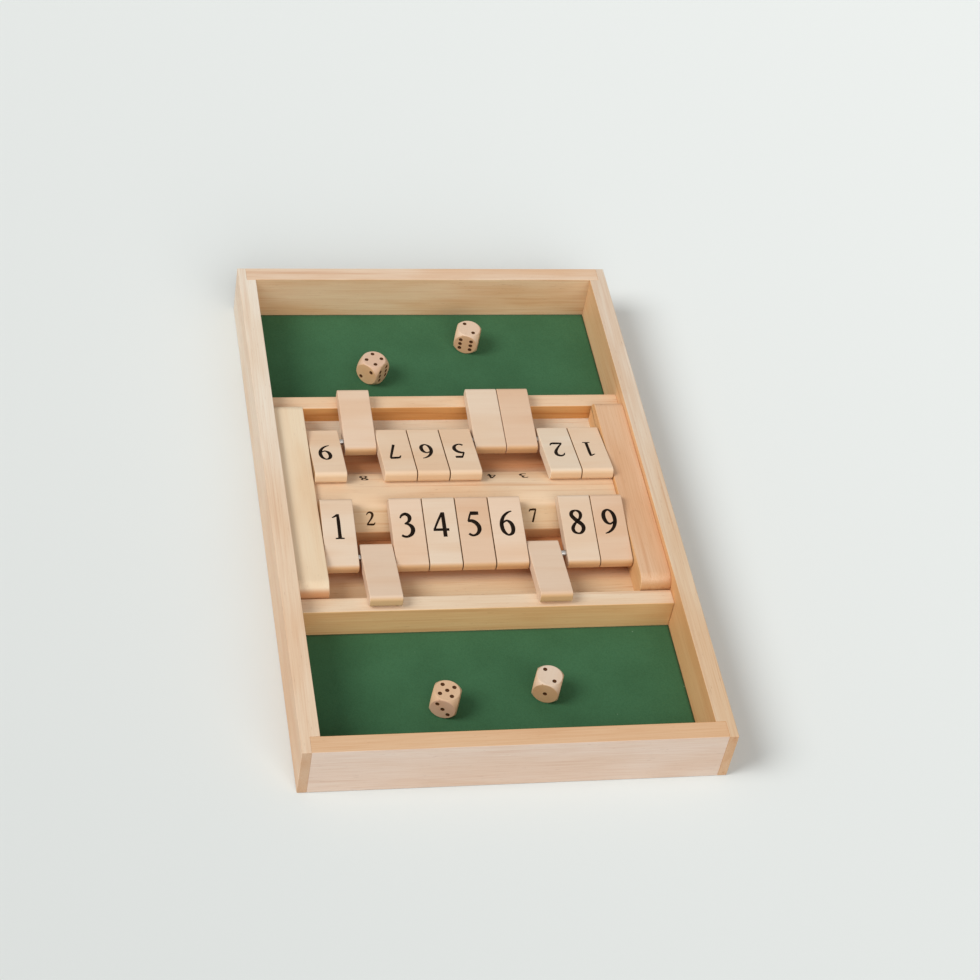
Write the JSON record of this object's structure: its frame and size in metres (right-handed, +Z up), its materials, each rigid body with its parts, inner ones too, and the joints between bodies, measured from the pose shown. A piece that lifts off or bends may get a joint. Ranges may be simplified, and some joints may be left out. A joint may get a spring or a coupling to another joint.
{
  "type": "shut the box game",
  "caption": "Shallow wooden tray box with two facing rows of numbered flip tiles on steel rods, a ridged number bar and a felted dice tray at each end.",
  "frame": {"origin": "centre of the underside", "axes": "+X along the rows of tiles, +Y from the near player to the far player, +Z up"},
  "size_m": [0.21, 0.34, 0.0303],
  "materials": {
    "wall_wood": "satin lacquered rubberwood boards",
    "base_board": "raw plywood",
    "deck_wood": "satin lacquered plywood",
    "block_wood": "satin lacquered rubberwood",
    "bar_wood": "satin lacquered rubberwood",
    "tile_wood": "satin lacquered beech tiles",
    "die_wood": "plain light wood",
    "rod_steel": "drawn steel wire rod",
    "felt": "short napped felt",
    "number_ink": "dark printed ink"
  },
  "bodies": {
    "box": {"side_wall_left": "wall_wood", "side_wall_right": "wall_wood", "end_wall_near": "wall_wood", "end_wall_far": "wall_wood", "base_panel": "base_board", "felt_near": "felt", "felt_far": "felt", "divider_near": "wall_wood", "divider_far": "wall_wood", "deck_board": "deck_wood", "holder_block_left": "block_wood", "holder_block_right": "block_wood", "number_bar": "bar_wood", "rod_near": "rod_steel", "rod_far": "rod_steel"},
    "near_tile_1": {"near_tile_1": "tile_wood"},
    "near_tile_2": {"near_tile_2": "tile_wood"},
    "near_tile_3": {"near_tile_3": "tile_wood"},
    "near_tile_4": {"near_tile_4": "tile_wood"},
    "near_tile_5": {"near_tile_5": "tile_wood"},
    "near_tile_6": {"near_tile_6": "tile_wood"},
    "near_tile_7": {"near_tile_7": "tile_wood"},
    "near_tile_8": {"near_tile_8": "tile_wood"},
    "near_tile_9": {"near_tile_9": "tile_wood"},
    "far_tile_1": {"far_tile_1": "tile_wood"},
    "far_tile_2": {"far_tile_2": "tile_wood"},
    "far_tile_3": {"far_tile_3": "tile_wood"},
    "far_tile_4": {"far_tile_4": "tile_wood"},
    "far_tile_5": {"far_tile_5": "tile_wood"},
    "far_tile_6": {"far_tile_6": "tile_wood"},
    "far_tile_7": {"far_tile_7": "tile_wood"},
    "far_tile_8": {"far_tile_8": "tile_wood"},
    "far_tile_9": {"far_tile_9": "tile_wood"},
    "die_1": {"die_1": "die_wood"},
    "die_2": {"die_2": "die_wood"},
    "die_3": {"die_3": "die_wood"},
    "die_4": {"die_4": "die_wood"}
  },
  "joints": [
    {"name": "near_tile_1_hinge", "type": "hinge", "parent": "box", "child": "near_tile_1", "pos_m": [-0.07078, -0.04125, 0.021], "axis": [1, 0, 0], "range_deg": [0, 162.83]},
    {"name": "near_tile_2_hinge", "type": "hinge", "parent": "box", "child": "near_tile_2", "pos_m": [-0.05253, -0.04125, 0.021], "axis": [1, 0, 0], "range_deg": [-162.83, 0]},
    {"name": "near_tile_3_hinge", "type": "hinge", "parent": "box", "child": "near_tile_3", "pos_m": [-0.03529, -0.04125, 0.021], "axis": [1, 0, 0], "range_deg": [0, 162.83]},
    {"name": "near_tile_4_hinge", "type": "hinge", "parent": "box", "child": "near_tile_4", "pos_m": [-0.01804, -0.04125, 0.021], "axis": [1, 0, 0], "range_deg": [0, 162.83]},
    {"name": "near_tile_5_hinge", "type": "hinge", "parent": "box", "child": "near_tile_5", "pos_m": [-0.0008, -0.04125, 0.021], "axis": [1, 0, 0], "range_deg": [0, 162.83]},
    {"name": "near_tile_6_hinge", "type": "hinge", "parent": "box", "child": "near_tile_6", "pos_m": [0.01644, -0.04125, 0.021], "axis": [1, 0, 0], "range_deg": [0, 162.83]},
    {"name": "near_tile_7_hinge", "type": "hinge", "parent": "box", "child": "near_tile_7", "pos_m": [0.03369, -0.04125, 0.021], "axis": [1, 0, 0], "range_deg": [-162.83, 0]},
    {"name": "near_tile_8_hinge", "type": "hinge", "parent": "box", "child": "near_tile_8", "pos_m": [0.05353, -0.04125, 0.021], "axis": [1, 0, 0], "range_deg": [0, 162.83]},
    {"name": "near_tile_9_hinge", "type": "hinge", "parent": "box", "child": "near_tile_9", "pos_m": [0.07073, -0.04125, 0.021], "axis": [1, 0, 0], "range_deg": [0, 162.83]},
    {"name": "far_tile_1_hinge", "type": "hinge", "parent": "box", "child": "far_tile_1", "pos_m": [0.07068, 0.04125, 0.021], "axis": [-1, 0, 0], "range_deg": [0, 162.83]},
    {"name": "far_tile_2_hinge", "type": "hinge", "parent": "box", "child": "far_tile_2", "pos_m": [0.05343, 0.04125, 0.021], "axis": [-1, 0, 0], "range_deg": [0, 162.83]},
    {"name": "far_tile_3_hinge", "type": "hinge", "parent": "box", "child": "far_tile_3", "pos_m": [0.03539, 0.04125, 0.021], "axis": [-1, 0, 0], "range_deg": [-162.83, 0]},
    {"name": "far_tile_4_hinge", "type": "hinge", "parent": "box", "child": "far_tile_4", "pos_m": [0.01814, 0.04125, 0.021], "axis": [-1, 0, 0], "range_deg": [-162.83, 0]},
    {"name": "far_tile_5_hinge", "type": "hinge", "parent": "box", "child": "far_tile_5", "pos_m": [0.0002, 0.04125, 0.021], "axis": [-1, 0, 0], "range_deg": [0, 162.83]},
    {"name": "far_tile_6_hinge", "type": "hinge", "parent": "box", "child": "far_tile_6", "pos_m": [-0.01704, 0.04125, 0.021], "axis": [-1, 0, 0], "range_deg": [0, 162.83]},
    {"name": "far_tile_7_hinge", "type": "hinge", "parent": "box", "child": "far_tile_7", "pos_m": [-0.03429, 0.04125, 0.021], "axis": [-1, 0, 0], "range_deg": [0, 162.83]},
    {"name": "far_tile_8_hinge", "type": "hinge", "parent": "box", "child": "far_tile_8", "pos_m": [-0.05153, 0.04125, 0.021], "axis": [-1, 0, 0], "range_deg": [-162.83, 0]},
    {"name": "far_tile_9_hinge", "type": "hinge", "parent": "box", "child": "far_tile_9", "pos_m": [-0.07078, 0.04125, 0.021], "axis": [-1, 0, 0], "range_deg": [0, 162.83]},
    {"name": "die_1_lift", "type": "slide", "parent": "box", "child": "die_1", "axis": [0, 0, 1], "range_m": [0, 0.05]},
    {"name": "die_2_lift", "type": "slide", "parent": "box", "child": "die_2", "axis": [0, 0, 1], "range_m": [0, 0.05]},
    {"name": "die_3_lift", "type": "slide", "parent": "box", "child": "die_3", "axis": [0, 0, 1], "range_m": [0, 0.05]},
    {"name": "die_4_lift", "type": "slide", "parent": "box", "child": "die_4", "axis": [0, 0, 1], "range_m": [0, 0.05]}
  ]
}
